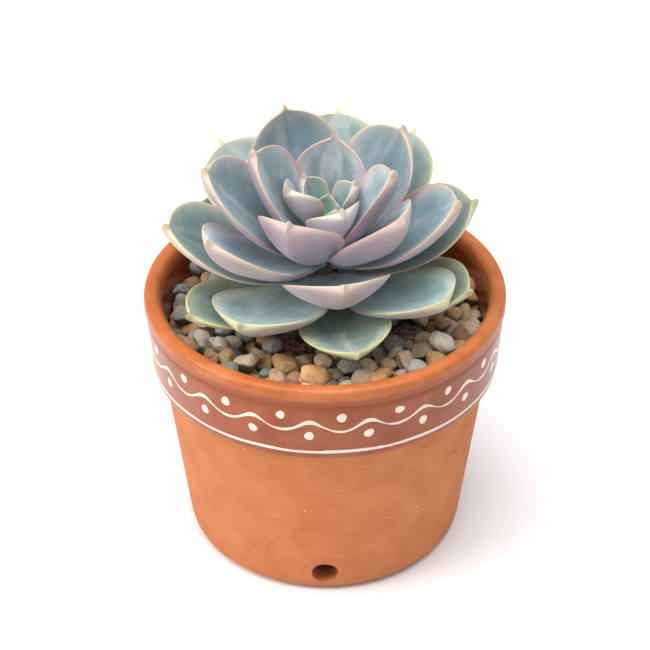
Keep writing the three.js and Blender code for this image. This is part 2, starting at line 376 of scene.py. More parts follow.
def leafPlace(leaf):
    lean = Matrix.Rotation(math.radians(rosette['lean']), 4, leanAxis())
    turn = Matrix.Rotation(math.radians(leaf['heading']), 4, 'Z')
    base = Matrix.Translation((0, 0, leaf['height'])) @ turn @ Matrix.Translation((leaf['reach'], 0, 0))
    return Matrix.Translation(rosette['pivot']) @ lean @ base


def leanAxis():
    towards = math.radians(rosette['towards'])
    return Vector((-math.sin(towards), math.cos(towards), 0))


def moved(points, place):
    turn = np.array(place.to_3x3())
    return points @ turn.T + np.array(place.translation)


# how much of an old mark on the underside lies here: 1 at its middle, 0 past its reach
def markShare(mark, along, across, top, leaf):
    if mark is None:
        return np.zeros(along.shape)
    atAlong, atAcross, reach = mark
    away = np.hypot((along - atAlong) * leaf['length'], (across - atAcross) * leaf['width'] / 2)
    return np.clip(1 - away / (2 * reach), 0, 1) * (top < 0.4)


# how far the surface stands off the middle line, above it or below, in mm
def leafSection(leaf, u, v, top, share, width, phase):
    size = leaf['width'] / 30
    taper = (1 - np.clip((u - 0.45) / 0.55, 0, 1) ** 2.6) ** 0.5
    swell = 0.75 + 0.25 * np.sin(np.clip(u / 0.5, 0, 1) * math.pi / 2)
    body = 0.5 * leaf['thick'] * swell * taper
    full = 1 - np.abs(v) ** outline['full']
    keel = (1 - np.sqrt(v ** 2 + 0.002)) * (1 + 0.25 * (1 - v ** 2))
    keelShare = 0.75 * np.clip((u - 0.2) / 0.6, 0, 1)
    thin = np.clip((1 - u) * leaf['length'] / outline['spurLength'] + 0.15, 0, 1)
    edge = outline['edge'] * np.sqrt(1 - np.abs(v) ** 7) * thin
    dish = 0.7 * v ** 2 + 0.3 * (np.sqrt(v ** 2 + 0.015) - 0.12)
    lip = leaf['cup'] * width * dish * (0.35 + 0.65 * share)
    soft = 0.16 * size * np.sin(u * 7 + v * 2.1 + phase[3])
    soft = soft + 0.10 * size * np.sin(u * 15 - v * 3.7 + phase[4])
    topSide = lip - 0.12 * body * full + edge + soft * full
    depth = body * (keelShare * keel + (1 - keelShare) * full)
    underSide = lip - 1.6 * depth - edge + soft * full * 0.6
    return np.where(top > 0.4, topSide, underSide)


# what the finish needs to know at each point of a leaf
def leafAttributes(leaf, u, v, top, width, facing):
    fromEdge = np.abs(1 - np.abs(v)) * width
    fromTip = np.broadcast_to((1 - u) * leaf['length'], fromEdge.shape)
    along = np.broadcast_to(u, fromEdge.shape)
    across = np.broadcast_to(v, fromEdge.shape)
    scar, spot = (markShare(leaf.get(kind), along, across, top, leaf) for kind in ('scar', 'spot'))
    values = {
        'leafPlace': ((along, across, top), (1, 0, 0.5)),
        'leafSize': ((fromEdge, fromTip, np.full(fromEdge.shape, facing)), (0, 0, facing)),
        'leafMark': ((scar, spot, np.zeros(scar.shape)), (0, 0, 0)),
    }
    return {name: np.concatenate([np.stack(rings, -1).reshape(-1, 3), [tip]])
            for name, (rings, tip) in values.items()}


# a leaf as rings of points: its upper face, then back along its underside
def leafPoints(leaf, seed, crumple=0.0):
    draw = np.random.default_rng(seed)
    rows, half = leafGrid['rows'], leafGrid['half']
    u = 1 - (1 - np.linspace(0, 1, rows + 1)[:-1]) ** 1.35
    turn = np.linspace(-math.pi / 2, math.pi / 2, half + 1)
    v = np.concatenate([np.sin(turn), np.sin(turn)[-2:0:-1]])
    top = np.concatenate([np.ones(half + 1), np.zeros(half - 1)])
    top[[0, half]] = 0.5
    u, v, top = u[:, None], v[None, :], np.broadcast_to(top, (rows, v.size))
    x, z, slope = centreLine(leaf, u)
    width = halfWidth(leaf, u)
    sway, _, wave = draw.uniform(-1, 1, 3)
    phase = draw.uniform(0, 2 * math.pi, 6)
    # how far a leaf faces the front; its finish scales the upper face by it as painted light and shade, and
    # shifts its streaks
    facing = 0.48 - 0.5 * math.sin(math.radians(leaf['heading'])) + draw.uniform(0, 0.04)

    ripple = 0.012 * np.sin(u * 9 + phase[0]) + 0.008 * np.sin(u * 23 + phase[1])
    width = width * (1 + (ripple + crumple * 0.3 * np.sin(u * 17 + phase[2])) * np.sign(v) * wave)
    up = leafSection(leaf, u, v, top, width / (leaf['width'] / 2), width, phase)
    creases = np.sin(u * 31 + v * 5 + phase[5]) + np.sin(u * 19 - v * 7)
    up = up + crumple * creases * (0.4 + 0.6 * np.abs(v))
    aside = sway * 0.3 * leaf['width'] / 30
    roll = math.radians(leaf.get('roll', 0)) * np.clip(u / 0.3, 0, 1)
    y = v * width
    y, up = y * np.cos(roll) - up * np.sin(roll) + aside * u ** 2, y * np.sin(roll) + up * np.cos(roll)
    points = np.stack([x - np.sin(slope) * up, y, z + np.cos(slope) * up], -1).reshape(-1, 3)
    endX, endZ, _ = centreLine(leaf, np.array([1.0]))
    points = np.concatenate([points, [[endX[0], aside, endZ[0]]]])

    around = 2 * half
    tip, last = rows * around, (rows - 1) * around
    faces = ringFaces(rows, around)
    faces += [(last + k, last + (k + 1) % around, tip) for k in range(around)]
    faces.append(tuple(range(around))[::-1])
    return points, faces, leafAttributes(leaf, u, v, top, width, facing)


def leafFinish(name, look):
    material, shader, wire = startFinish(name)
    along, across, top = attribute(wire, 'leafPlace').split()
    fromEdge, fromTip, facing = attribute(wire, 'leafSize').split()
    where = wire.node('TexCoord', output=3)
    length = wire.node('CombineXYZ', None, {0: across * 2.6, 1: along * 1.6, 2: facing * 40})
    broad = noise(wire, where, 60, 2.0)
    cloud = noise(wire, where, 190, 4.0, 0.6)
    fine = noise(wire, where, 1500, 2.0, 0.6)
    streak = noise(wire, length, 0.8, 2.0, 0.5, 0.6)

    # upper face: painted shade darkest in the cupped hollow, mixed with the leaf's own streaks and clouds;
    # paler and dusted with bloom towards the edge
    hollowShadeAndStreaks = fromEdge.fade(0.5, 8.0) * (1 - along * 0.30) + (streak - 0.5) * 0.9 + (cloud - 0.5) * 0.7
    upper = hollowShadeAndStreaks.fade(0.1, 0.85).blend(look['top'], look['deep'])
    # bloom dust in streaks and clouds is the leaf's own; the part near the base is painted light that lifts
    # the shade there, and the pale patches near the edge are a painted sheen
    dustAndPaintedLight = streak.fade(0.46, 0.74) * 0.42 + cloud.fade(0.45, 0.75) * 0.28 + along.fade(0.75, 0.25) * 0.22
    dustAndPaintedLight = dustAndPaintedLight + fromEdge.fade(5.5, 1.5) * cloud.fade(0.35, 0.60) * 0.30
    upper = dustAndPaintedLight.blend(upper, look['bloom'])
    tint = fromEdge.fade(6.5, 1.5) * broad.fade(0.36, 0.62) * along.fade(0.1, 0.4) * 0.45
    upper = tint.blend(upper, look['tint'])
    # painted light and shade: upper faces paler on leaves towards the front, from far to near for each whorl
    light = facing.fade(0.55, 0.90) * (look['near'] - look['far']) + look['far']
    upper = upper.scale(light)

    # underside: greyer near the stem, tan in patches
    lower = along.fade(0.10, 0.65).blend(look['underDeep'], look['under'])
    lower = (broad.fade(0.50, 0.66) * along.fade(0.4, 0.8) * 0.6).blend(lower, look['tan'])
    lower = (cloud.fade(0.45, 0.75) * 0.18).blend(lower, look['bloom'])
    skin = top.fade(0.35, 0.65).blend(lower, upper)

    scar, spot, _ = attribute(wire, 'leafMark').split()
    skin = ((scar + (cloud - 0.5) * 0.5).fade(0.40, 0.52) * 0.75).blend(skin, colour(0.300, 0.215, 0.150))
    skin = ((spot + (cloud - 0.5) * 0.4).fade(0.25, 0.60) * 0.7).blend(skin, colour(0.480, 0.120, 0.180))

    glow = fromEdge.fade(3.2, 0.5) * along.fade(0.15, 0.6) * (0.30 + broad * 0.35)
    skin = glow.blend(skin, look['glow'])
    green = fromTip.fade(10.0, 2.0) * fromEdge.fade(0.5, 2.2) * 0.25
    skin = green.blend(skin, look['spur'])
    margin = (along + (broad - 0.5) * 0.5).fade(0.56, 0.82).blend(look['blush'], look['rim'])
    line = fromEdge.fade(1.5, 0.50) * along.fade(0.05, 0.3) * (0.60 + cloud * 0.35)
    skin = line.blend(skin, margin)
    skin = (fromTip.fade(2.4, 0.8) * 0.75).blend(skin, look['spur'])

    # a few brown specks and pale scratches
    speck = noise(wire, where, 850, 1.0, 0.5).fade(0.70, 0.745)
    speck = speck * broad.fade(0.50, 0.60) * fromEdge.fade(1.0, 2.0)
    skin = (speck * 0.6).blend(skin, colour(0.10, 0.085, 0.06))
    scratch = noise(wire, where.stretch((1, 0.2, 1)), 620, 1.0, 0.5, 1.2).fade(0.70, 0.76) * top
    skin = (scratch * 0.15).blend(skin, look['bloom'])

    normal = bump(wire, fine, 0.08, 0.0003)
    normal = bump(wire, cloud, 0.15, 0.0006, normal)
    plug(shader, Base_Color=skin, Roughness=0.46 + (cloud - 0.5) * 0.2, Normal=normal,
         Specular_IOR_Level=0.4, Sheen_Weight=0.38, Sheen_Roughness=0.40,
         Sheen_Tint=colour(0.86, 0.92, 1.0),
         Subsurface_Weight=0.12, Subsurface_Scale=0.004, Subsurface_Radius=(1.0, 0.7, 0.5))
    return material


firstLeafSeed = 100
leafCount = 0
for whorl, plan in leafPlan.items():
    finish = leafFinish(whorl + '_leaf_skin', leafLooks[whorl])
    for index, own in enumerate(plan):
        leaf = {**whorls[whorl], **own}
        points, faces, marks = leafPoints(leaf, firstLeafSeed + leafCount)
        points = moved(points, leafPlace(leaf)) * mm
        node = f'{whorl}_leaf_{index + 1}'
        makePiece('fine_' + node, points, faces, finish, marks, [node])
        leafCount += 1
print('leaves made:', leafCount)


pot = {
    'height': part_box('terracotta_pot')[1][2] / mm,
    'rim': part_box('terracotta_pot')[1][0] / mm,
    'collarFoot': (58.3, 66.3),     # radius, height
    'collarTop': (59.5, 86.3),
    'insideTop': (52.9, 84),
    'insideFoot': (42.5, 4.4),
    'around': 256,
    'drainRadius': 4.5,
    'drainHeight': 8.9,
    'drainSpan': (-60, -38),        # the front wall, along y
    'drainSides': 40,
}

# radius, height and corner rounding, from the middle of the base up the outside and down inside
potOutline = [
    (0, 0, 0), (47.6, 0, 4.6), (55.2, 66.5, 0.7), (*pot['collarFoot'], 1.3), (*pot['collarTop'], 1.5),
    (59.2, 88.0, 0.8), (pot['rim'], 89.2, 1.0), (pot['rim'], pot['height'], 2.7),
    (54.9, pot['height'], 2.4), (53.6, 89, 2.0), (*pot['insideTop'], 2.0),
    (*pot['insideFoot'], 3.0), (0, pot['insideFoot'][1], 0),
]


# radius of a straight wall at a height, from two of its points
def wallRadius(height, low, high):
    return low[0] + (high[0] - low[0]) * (height - low[1]) / (high[1] - low[1])


# an outline with its corners rounded off by arcs
def roundedOutline(corners, steps=7):
    made = [corners[0][:2]]
    for before, (x, z, size), after in zip(corners, corners[1:], corners[2:]):
        corner = np.array((x, z), float)
        toBefore = np.array(before[:2], float) - corner
        toAfter = np.array(after[:2], float) - corner
        reach = min(size, np.linalg.norm(toBefore) * 0.48, np.linalg.norm(toAfter) * 0.48)
        start = corner + toBefore / np.linalg.norm(toBefore) * reach
        end = corner + toAfter / np.linalg.norm(toAfter) * reach
        for t in np.linspace(0, 1, steps):
            made.append(tuple((1 - t) ** 2 * start + 2 * t * (1 - t) * corner + t ** 2 * end))
    made.append(corners[-1][:2])
    return made


# long straight runs of an outline are cut into short steps
def finerOutline(points, step):
    made = [points[0]]
    for before, after in zip(points, points[1:]):
        length = math.dist(before, after)
        count = max(1, round(length / step))
        for k in range(1, count + 1):
            share = k / count
            made.append((before[0] + (after[0] - before[0]) * share,
                         before[1] + (after[1] - before[1]) * share))
    return made


# an outline spun round the upright axis
def turned(points, around):
    angles = np.arange(around) * 2 * math.pi / around
    inner = points[1:-1]
    rings = np.array([[(r * math.cos(a), r * math.sin(a), z) for a in angles] for r, z in inner])
    verts = np.concatenate([rings.reshape(-1, 3), [[0, 0, points[0][1]], [0, 0, points[-1][1]]]])
    faces = ringFaces(len(inner), around)
    first, last = len(inner) * around, (len(inner) - 1) * around
    faces += [(first, (k + 1) % around, k) for k in range(around)]
    faces += [(first + 1, last + k, last + (k + 1) % around) for k in range(around)]
    return verts, faces


def cutDrain(piece):
    sides, radius = pot['drainSides'], pot['drainRadius']
    angles = np.arange(sides) * 2 * math.pi / sides
    ring = [(radius * math.cos(a), pot['drainHeight'] + radius * math.sin(a)) for a in angles]
    verts = [(x * mm, y * mm, z * mm) for y in pot['drainSpan'] for x, z in ring]
    faces = [(sides + k, sides + (k + 1) % sides, (k + 1) % sides, k) for k in range(sides)]
    faces += [tuple(range(sides)), tuple(range(sides, 2 * sides))[::-1]]
    mesh = bpy.data.meshes.new('drain cutter')
    mesh.from_pydata(verts, [], faces)
    cutter = bpy.data.objects.new('drain cutter', mesh)
    scene.collection.objects.link(cutter)
    cut = piece.modifiers.new('drain', 'BOOLEAN')
    cut.object = cutter
    cut.operation = 'DIFFERENCE'
    cut.solver = 'EXACT'
    bpy.context.view_layer.update()
    made = bpy.data.meshes.new_from_object(piece.evaluated_get(bpy.context.evaluated_depsgraph_get()))
    piece.modifiers.clear()
    piece.data = made
    bpy.data.objects.remove(cutter)
    print('pot faces', len(made.polygons))
    made.shade_smooth()
    made.set_sharp_from_angle(angle=math.radians(38))


def potFinish():
    material, shader, wire = startFinish('terracotta_pot_clay')
    where = wire.node('TexCoord', output=3)
    height = where.split()[2] / mm
    broad = noise(wire, where, 22, 2.0)
    cloud = noise(wire, where, 90, 4.0, 0.6)
    grain = noise(wire, where, 1400, 3.0, 0.7)
    wheel = noise(wire, where.stretch((0.12, 0.12, 1)), 900, 2.0, 0.6)
    glazed = height.fade(65.3, 66.4)
    rimTop = height.fade(89.0, 91.5)

    # bare clay body
    paleClay, deepClay = colour(0.560, 0.200, 0.080), colour(0.470, 0.150, 0.052)
    clay = (cloud.fade(0.30, 0.72) * 0.7 + broad * 0.3).blend(deepClay, paleClay)
    clay = (wheel.fade(0.45, 0.8) * 0.25).blend(clay, colour(0.620, 0.270, 0.135))
    pit = noise(wire, where, 480, 1.0, 0.4).fade(0.772, 0.800)
    clay = (pit * 0.8).blend(clay, colour(0.130, 0.040, 0.020))
    fleck = noise(wire, where.shift((3.1, 1.7, 0.4)), 520, 1.0, 0.4).fade(0.785, 0.81)
    clay = (fleck * 0.8).blend(clay, colour(0.900, 0.560, 0.330))

    # glazed collar, with amber glaze pooled under the lip
    paleGlaze, deepGlaze = colour(0.350, 0.100, 0.040), colour(0.240, 0.046, 0.010)
    glaze = (cloud.fade(0.3, 0.7) * 0.6 + broad * 0.4).blend(deepGlaze, paleGlaze)
    pool = height.fade(84.3, 88.2) * (1 - rimTop) + wheel.fade(0.58, 0.75) * cloud.fade(0.45, 0.6) * 0.6
    glaze = (pool * 0.9).blend(glaze, colour(0.270, 0.052, 0.006))
    lip = cloud.fade(0.3, 0.7).blend(colour(0.390, 0.098, 0.022), colour(0.500, 0.152, 0.045))
    glaze = rimTop.blend(glaze, lip)
    skin = glazed.blend(clay, glaze)

    dry = 0.74 + (grain - 0.5) * 0.2
    wet = 0.24 + cloud * 0.12 + rimTop * 0.10
    rough = dry * (1 - glazed) + wet * glazed
    fineBump = bump(wire, grain, 0.12, 0.0003)
    wheelBump = bump(wire, wheel, 0.10, 0.0006, fineBump)
    pitBump = bump(wire, 1 - pit, 0.5, 0.0004, wheelBump)
    plug(shader, Base_Color=skin, Roughness=rough, Coat_Weight=glazed * (0.30 - rimTop * 0.05),
         Coat_Roughness=0.10, Specular_IOR_Level=0.15, Normal=pitBump)
    return material


clay = potFinish()
potPoints, potFaces = turned(finerOutline(roundedOutline(potOutline), 3.0), pot['around'])
potPiece = makePiece('turned_pot', potPoints * mm, potFaces, clay, None, ['terracotta_pot'])
cutDrain(potPiece)
print('pot turned')

# cream slip on the collar: a wave, dots above and below it, and a line
slip = {
    'seed': 31,
    'repeats': 20,
    'steps': 40,                # points along one wave
    'crestAt': -4.3,            # degrees from the front
    'middle': 79.8,
    'swing': 1.8,
    'lift': 0.16,               # how far the slip stands out
    'upperDot': (4.9, 83.7),    # degrees, height
    'lowerDot': (-4.3, 76.2),
    'line': 69.5,
    'sunk': 0.05,
}


def collarRadius(height):
    return wallRadius(height, pot['collarFoot'], pot['collarTop'])


# a brushed band round the collar: its middle height and half width at each angle
def slipBand(angles, heights, widths):
    across = np.linspace(-1, 1, 9)
    z = heights[:, None] + across * widths[:, None]
    out = collarRadius(z) - slip['sunk'] + (slip['lift'] + slip['sunk']) * np.sqrt(1 - across ** 2) ** 0.7
    a = np.radians(270 + angles)[:, None]
    points = np.stack([out * np.cos(a), out * np.sin(a), z], -1)
    count, ring = points.shape[:2]
    faces = []
    for k in range(count):
        low, high = k * ring, ((k + 1) % count) * ring
        faces += [(low + j, high + j, high + j + 1, low + j + 1) for j in range(ring - 1)]
    return points.reshape(-1, 3), faces


def slipFinish():
    material, shader, wire = startFinish('cream_slip')
    where = wire.node('TexCoord', output=3)
    cloud = noise(wire, where, 700, 3.0, 0.65)
    brush = noise(wire, where.stretch((1, 1, 5)), 500, 3.0, 0.7)
    thin = (brush.fade(0.52, 0.72) * 0.45 + cloud.fade(0.55, 0.75) * 0.25)
    cream = thin.blend(colour(0.760, 0.610, 0.500), colour(0.560, 0.300, 0.190))
    plug(shader, Base_Color=cream, Roughness=0.32, Coat_Weight=0.8, Coat_Roughness=0.08,
         Normal=bump(wire, cloud, 0.2, 0.0002))
    return material


cream = slipFinish()
draw = np.random.default_rng(slip['seed'])
count = slip['repeats'] * slip['steps']
angles = np.arange(count) * 360 / count
phase = np.radians((angles - slip['crestAt']) * slip['repeats'])
jitter = np.interp(angles, np.linspace(0, 360, 61), np.append(draw.uniform(-1, 1, 60), 0))
ragged = draw.uniform(-0.05, 0.05, count)
waveHeight = slip['middle'] + slip['swing'] * np.cos(phase + 0.25 * np.sin(phase)) + 0.25 * jitter
waveWidth = 0.56 + 0.20 * np.cos(phase + 0.6) + 0.14 * np.cos(2 * phase) + 0.12 * jitter + ragged
points, faces = slipBand(angles, waveHeight, np.clip(waveWidth, 0.16, 0.95))
makePiece('slip_wave', points * mm, faces, cream)
lineWobble = np.interp(angles, np.linspace(0, 360, 37), np.append(draw.uniform(-1, 1, 36), 0))
points, faces = slipBand(angles, slip['line'] + 0.15 * lineWobble, 0.58 + 0.12 * lineWobble + ragged)
makePiece('slip_line', points * mm, faces, cream)


# one round dab of slip: rings from its edge in to its raised middle
def slipDot(middle, level, dot):
    wide, tall, tilt, wobble = dot
    around, rings = 28, 5
    points = []
    for ring in range(rings, -1, -1):
        share = math.sin(ring / rings * math.pi / 2)
        rise = 0.32 * math.sqrt(1 - share ** 2) ** 0.6
        for j in range(around if ring else 1):
            a = j * 2 * math.pi / around
            uneven = 1 + 0.06 * math.sin(2 * a + wobble[0]) + 0.05 * math.sin(3 * a + wobble[1])
            x, y = wide * share * uneven * math.cos(a), tall * share * uneven * math.sin(a)
            side = x * math.cos(tilt) - y * math.sin(tilt)
            z = level + x * math.sin(tilt) + y * math.cos(tilt)
            out = collarRadius(z) - slip['sunk'] + rise
            turn = math.radians(270 + middle) + side / out
            points.append((out * math.cos(turn), out * math.sin(turn), z))
    last, tip = (rings - 1) * around, rings * around
    faces = ringFaces(rings, around)
    faces += [(last + j, last + (j + 1) % around, tip) for j in range(around)]
    return points, faces


def slipDots():
    points, faces = [], []
    for k in range(slip['repeats']):
        for offset, height in (slip['upperDot'], slip['lowerDot']):
            middle = offset + 360 / slip['repeats'] * k + draw.uniform(-0.5, 0.5)
            level = height + draw.uniform(-0.2, 0.2)
            wide, tall = draw.uniform(1.40, 1.70), draw.uniform(1.45, 1.75)
            dot = wide, tall, draw.uniform(-0.5, 0.5), draw.uniform(0, 2 * math.pi, 2)
            dotPoints, dotFaces = slipDot(middle, level, dot)
            faces += [tuple(v + len(points) for v in face) for face in dotFaces]
            points += dotPoints
    return np.array(points), faces


points, faces = slipDots()
makePiece('slip_dots', points * mm, faces, cream)
print('slip marks painted')

gravel = {
    'seed': 5,
    'count': 600,
    'small': 2.0,           # pebble radii
    'usual': 3.0,
    'large': 4.3,
    'spread': 48,
    'drop': (78, 96),       # heights they start from
    'floor': 77.0,
    'rounds': 170,
    'fall': 0.16,
    'push': 0.42,
    'squeeze': 0.95,
    'upper': 79.5,          # above this they get the finer mesh
    'clearRadius': 30,      # the leaves' bases fill this reach above this height
    'clearHeight': 88,
}

pebbleLooks = {
    'beige': {'share': 0.27, 'main': colour(0.781, 0.636, 0.437), 'second': colour(0.598, 0.456, 0.287),
              'speck': colour(0.200, 0.150, 0.110), 'specks': 0.62},
    'tan': {'share': 0.16, 'main': colour(0.659, 0.444, 0.265), 'second': colour(0.476, 0.288, 0.149),
            'speck': colour(0.160, 0.100, 0.060), 'specks': 0.62},
    'ochre': {'share': 0.11, 'main': colour(0.805, 0.480, 0.196), 'second': colour(0.586, 0.276, 0.098),
              'speck': colour(0.740, 0.620, 0.420), 'specks': 0.60},
    'grey': {'share': 0.18, 'main': colour(0.415, 0.432, 0.402), 'second': colour(0.293, 0.312, 0.310),
             'speck': colour(0.500, 0.500, 0.460), 'specks': 0.63},
    'granite': {'share': 0.11, 'main': colour(0.146, 0.162, 0.178), 'second': colour(0.293, 0.288, 0.276),
                'speck': colour(0.560, 0.550, 0.510), 'specks': 0.52},
    'russet': {'share': 0.07, 'main': colour(0.439, 0.228, 0.138), 'second': colour(0.293, 0.144, 0.092),
               'speck': colour(0.500, 0.360, 0.260), 'specks': 0.62},
    'pale': {'share': 0.10, 'main': colour(0.850, 0.828, 0.678), 'second': colour(0.756, 0.648, 0.494),
             'speck': colour(0.400, 0.320, 0.240), 'specks': 0.64},
}


# pebbles dropped into the pot: they settle on each other and against the wall
def settlePebbles(draw):
    count = gravel['count']
    radii = draw.triangular(gravel['small'], gravel['usual'], gravel['large'], count)
    turn = draw.uniform(0, 2 * math.pi, count)
    reach = np.sqrt(draw.uniform(0, 1, count)) * gravel['spread']
    places = np.stack([reach * np.cos(turn), reach * np.sin(turn), draw.uniform(*gravel['drop'], count)], -1)
    near = (radii[:, None] + radii[None, :]) * gravel['squeeze']
    np.fill_diagonal(near, 0)
    for _ in range(gravel['rounds']):
        places[:, 2] -= gravel['fall']
        apart = places[:, None, :] - places[None, :, :]
        distance = np.sqrt((apart ** 2).sum(-1)) + 1e-6
        overlap = np.clip(near - distance, 0, None)
        places += (apart / distance[..., None] * overlap[..., None] * gravel['push']).sum(1)
        places[:, 2] = np.maximum(places[:, 2], gravel['floor'] + radii * 0.8)
        wall = wallRadius(places[:, 2], pot['insideFoot'], pot['insideTop'])
        out = np.hypot(places[:, 0], places[:, 1])
        pull = np.minimum(1, (wall - radii * 1.02) / np.maximum(out, 1e-6))
        places[:, :2] *= pull[:, None]
    return places, radii


def ball(levels):
    shape = bmesh.new()
    bmesh.ops.create_icosphere(shape, subdivisions=levels, radius=1)
    points = np.array([v.co[:] for v in shape.verts])
    faces = [tuple(v.index for v in f.verts) for f in shape.faces]
    shape.free()
    return points, faces


# one worn stone: a ball with softened flats, gentle lumps and its own proportions
def pebblePoints(points, draw):
    made = points.copy()
    for _ in range(9):
        flat = draw.normal(size=3)
        flat /= np.linalg.norm(flat)
        depth = draw.uniform(0.60, 0.90)
        over = made @ flat - depth
        made -= flat * (np.logaddexp(0, over * 20) / 20)[:, None] * 0.85
    for _ in range(4):
        wave = draw.normal(size=3) * draw.uniform(2, 5)
        made *= 1 + 0.025 * np.sin(points @ wave + draw.uniform(0, 6))[:, None]
    made *= np.array([draw.uniform(1.1, 1.38), draw.uniform(0.98, 1.12), draw.uniform(0.78, 0.98)])
    tilt = Matrix.Rotation(draw.uniform(-0.7, 0.7), 3, 'X')
    tilt = tilt @ Matrix.Rotation(draw.uniform(-0.7, 0.7), 3, 'Y')
    turn = Matrix.Rotation(draw.uniform(0, 2 * math.pi), 3, 'Z') @ tilt
    return made @ np.array(turn).T


def pebbleFinish(name, look):
    material, shader, wire = startFinish('pebble_' + name)
    tone = attribute(wire, 'pebbleTone')
    shade, warm, patch = tone.split()
    where = wire.node('TexCoord', output=3).shift(tone)
    cloud = noise(wire, where, 260, 4.0, 0.6, 0.4)
    grain = noise(wire, where, 2400, 3.0, 0.7)
    specks = noise(wire, where, 1500, 2.0, 0.6)
    skin = (cloud.fade(0.35, 0.68) * 0.8 + patch * 0.3).blend(look['main'], look['second'])
    skin = (specks.fade(look['specks'], look['specks'] + 0.05) * 0.8).blend(skin, look['speck'])
    skin = (warm * 0.22).blend(skin, colour(0.45, 0.33, 0.20))
    skin = skin.scale(0.74 + shade * 0.26)
    upwards = wire.node('NewGeometry', output=1).split()[2]
    skin = (upwards.fade(0.35, -0.35) * 0.7).blend(skin, colour(0.030, 0.022, 0.016))     # painted shade: faces turned downwards are darkened
    normal = bump(wire, grain, 0.9, 0.0005)
    normal = bump(wire, cloud, 0.5, 0.0012, normal)
    plug(shader, Base_Color=skin, Roughness=0.62 + (cloud - 0.5) * 0.3, Normal=normal)
    return material


draw = np.random.default_rng(gravel['seed'])
places, radii = settlePebbles(draw)
print('pebbles settled, top at', round(float(np.percentile(places[:, 2] + radii * 0.9, 95)), 1), 'mm')
fineBall, coarseBall = ball(4), ball(3)
kinds = draw.choice(len(pebbleLooks), gravel['count'], p=[look['share'] for look in pebbleLooks.values()])
heaps = {name: {'points': [], 'faces': [], 'tones': [], 'size': 0} for name in pebbleLooks}
for place, radius, kind in zip(places, radii, kinds):
    heap = heaps[list(pebbleLooks)[kind]]
    shape, shapeFaces = fineBall if place[2] > gravel['upper'] else coarseBall
    stone = pebblePoints(shape, draw) * radius + place
    tone = draw.uniform(0, 1, 3)
    underLeaves = math.hypot(place[0], place[1]) < gravel['clearRadius']
    if underLeaves and place[2] + radius > gravel['clearHeight']:
        continue        # no room for it
    heap['points'].append(stone)
    heap['faces'] += [tuple(v + heap['size'] for v in face) for face in shapeFaces]
    heap['tones'].append(np.tile(tone, (len(stone), 1)))
    heap['size'] += len(stone)
looseStones = [f'loose_stone_{k + 1}' for k in range(16)]
for index, (name, heap) in enumerate(heaps.items()):
    makePiece(f'{name}_pebbles', np.concatenate(heap['points']) * mm, heap['faces'],
              pebbleFinish(name, pebbleLooks[name]),
              {'pebbleTone': np.concatenate(heap['tones'])}, looseStones[index::len(heaps)])
print('pebbles laid')


def soilFinish():
    material, shader, wire = startFinish('dark_soil')
    where = wire.node('TexCoord', output=3)
    crumb = noise(wire, where, 700, 5.0, 0.7)
    lump = noise(wire, where, 180, 3.0, 0.6)
    skin = crumb.fade(0.35, 0.7).blend(colour(0.018, 0.012, 0.009), colour(0.085, 0.055, 0.038))
    skin = (noise(wire, where, 1600, 1.0).fade(0.70, 0.74) * 0.6).blend(skin, colour(0.30, 0.24, 0.18))
    normal = bump(wire, crumb, 0.9, 0.0012)
    plug(shader, Base_Color=skin, Roughness=0.9 + (lump - 0.5) * 0.1, Normal=normal)
    return material


soil = soilFinish()


# crumbly soil that shows between the pebbles
soilTop = {'level': 78.0, 'radius': 51.6, 'rings': 40, 'around': 160}


def soilLayer():
    rings, around, level = soilTop['rings'], soilTop['around'], soilTop['level']
    points = [(0, 0, level)]
    for ring in range(1, rings + 1):
        reach = soilTop['radius'] * ring / rings
        for k in range(around):
            a = k * 2 * math.pi / around
            x, y = reach * math.cos(a), reach * math.sin(a)
            lump = 0.5 * math.sin(x * 1.1 + 1) * math.sin(y * 1.3)
            crumb = 0.3 * math.sin(x * 2.7) * math.cos(y * 2.3)
            points.append((x, y, level + lump + crumb))
    faces = [(0, 1 + k, 1 + (k + 1) % around) for k in range(around)]
    faces += [tuple(1 + v for v in face)[::-1] for face in ringFaces(rings, around)]
    return np.array(points), faces


points, faces = soilLayer()
makePiece('soil_between_pebbles', points * mm, faces, soil, None, ['gravel_bed'])
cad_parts['potting_soil'].material_slots[0].material = soil
print('soil filled in')


def stemFinish():
    material, shader, wire = startFinish('stem_bark')
    where = wire.node('TexCoord', output=3)
    cloud = noise(wire, where, 260, 4.0, 0.6)
    ring = noise(wire, where.stretch((0.2, 0.2, 1)), 600, 2.0)
    skin = cloud.fade(0.35, 0.7).blend(colour(0.20, 0.14, 0.085), colour(0.36, 0.33, 0.20))
    skin = (ring.fade(0.5, 0.7) * 0.6).blend(skin, colour(0.13, 0.08, 0.05))
    normal = bump(wire, ring, 0.6, 0.001)
    plug(shader, Base_Color=skin, Roughness=0.75 + (cloud - 0.5) * 0.2, Normal=normal)
    return material


bark = stemFinish()


stem = {
    'foot': -28,            # heights from the rosette's pivot
    'length': 53,
    'thinsAt': 10,
    'radius': 4.4,
    'thinning': 2.6 / 15,
    'around': 48,
    'steps': 90,
}


